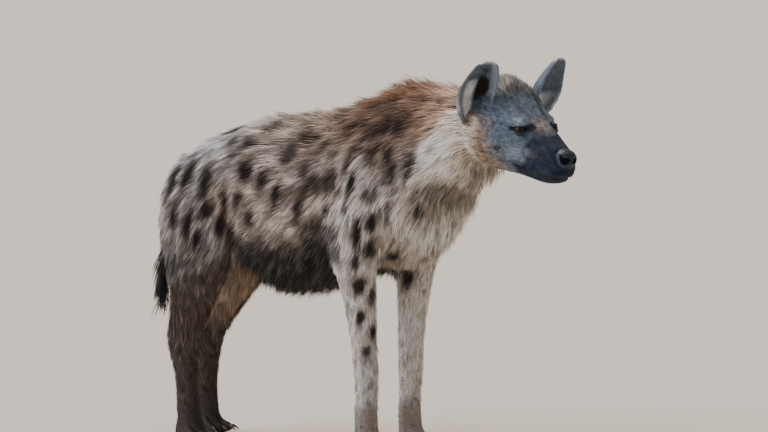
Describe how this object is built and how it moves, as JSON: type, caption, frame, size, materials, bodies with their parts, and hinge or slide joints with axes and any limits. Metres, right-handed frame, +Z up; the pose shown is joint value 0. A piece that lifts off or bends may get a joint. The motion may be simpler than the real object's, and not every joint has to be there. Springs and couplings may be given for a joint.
{
  "type": "spotted_hyena",
  "caption": "Life-size spotted hyena standing on all fours with head raised and turned a little, shaggy spotted coat, sloping back and round ears.",
  "frame": {"origin": "On the ground under the middle of the whole animal's length and width.", "axes": "+X is the way the trunk faces, from tail to nose, +Y is the animal's left, +Z is up."},
  "size_m": [1.2142, 0.3134, 0.8572],
  "materials": {
    "buff": "long shaggy grey-buff fur with dark spots",
    "grey": "short flat grey fur",
    "dark": "coarse dark brown fur",
    "nose": "moist pebbled bare skin",
    "eye": "wet glossy eye",
    "claw": "worn horn"
  },
  "bodies": {
    "root": {"claw_forepaw_left_1": "claw", "claw_forepaw_left_2": "claw", "claw_forepaw_left_3": "claw", "claw_forepaw_left_4": "claw", "claw_forepaw_right_1": "claw", "claw_forepaw_right_2": "claw", "claw_forepaw_right_3": "claw", "claw_forepaw_right_4": "claw", "claw_hindpaw_left_1": "claw", "claw_hindpaw_left_2": "claw", "claw_hindpaw_left_3": "claw", "claw_hindpaw_left_4": "claw", "claw_hindpaw_right_1": "claw", "claw_hindpaw_right_2": "claw", "claw_hindpaw_right_3": "claw", "claw_hindpaw_right_4": "claw", "ear_left": "grey", "ear_right": "grey", "eye_left": "eye", "eye_right": "eye", "forearm_left": "buff", "forearm_right": "buff", "foreleg_upper_left": "buff", "foreleg_upper_right": "buff", "forepaw_left": "grey", "forepaw_right": "grey", "head": "grey", "hindpaw_left": "grey", "hindpaw_right": "grey", "lower_jaw": "grey", "neck": "buff", "nose_pad": "nose", "rear_pastern_left": "dark", "rear_pastern_right": "dark", "shank_left": "dark", "shank_right": "dark", "tail": "buff", "tail_tuft": "dark", "thigh_left": "buff", "thigh_right": "buff", "trunk": "buff"}
  },
  "joints": []
}
